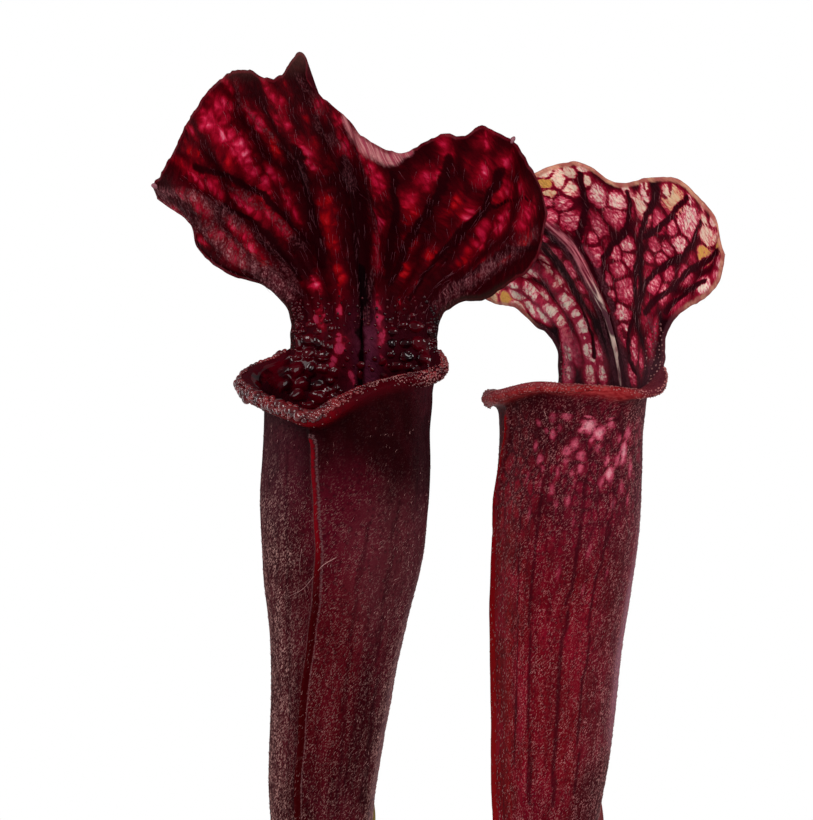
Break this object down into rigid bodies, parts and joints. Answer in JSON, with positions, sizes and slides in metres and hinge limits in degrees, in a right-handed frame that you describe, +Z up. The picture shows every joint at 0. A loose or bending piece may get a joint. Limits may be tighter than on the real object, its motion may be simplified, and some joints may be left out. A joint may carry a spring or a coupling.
{
  "type": "potted pitcher plant",
  "caption": "Pitcher plant with tall hooded red-veined pitchers rising from a rhizome in potting mix, in a plain round pot with drain holes.",
  "frame": {"origin": "centre of the pot's flat underside", "axes": "+Z up along the pot's axis and the pitchers, -Y towards the viewer of the picture, +X to the viewer's right"},
  "size_m": [0.1264, 0.1264, 0.3473],
  "materials": {
    "dark_pitcher": "velvety burgundy leaf with dark veins, glossy nectar at the mouth",
    "light_pitcher": "crimson leaf with near-black veins and pink to cream windows",
    "old_leaf": "dull olive tan, dry at the margin",
    "young_pitcher": "finely hairy red",
    "rhizome": "rough brown with dry leaf scars",
    "potting_mix": "damp dark peat with white perlite grains",
    "pot": "plain terracotta-coloured matte plastic"
  },
  "bodies": {
    "root": {"left_pitcher": "dark_pitcher", "right_pitcher": "light_pitcher", "old_leaf": "old_leaf", "young_pitcher": "young_pitcher", "rhizome": "rhizome", "potting_mix": "potting_mix", "pot": "pot"}
  },
  "joints": []
}
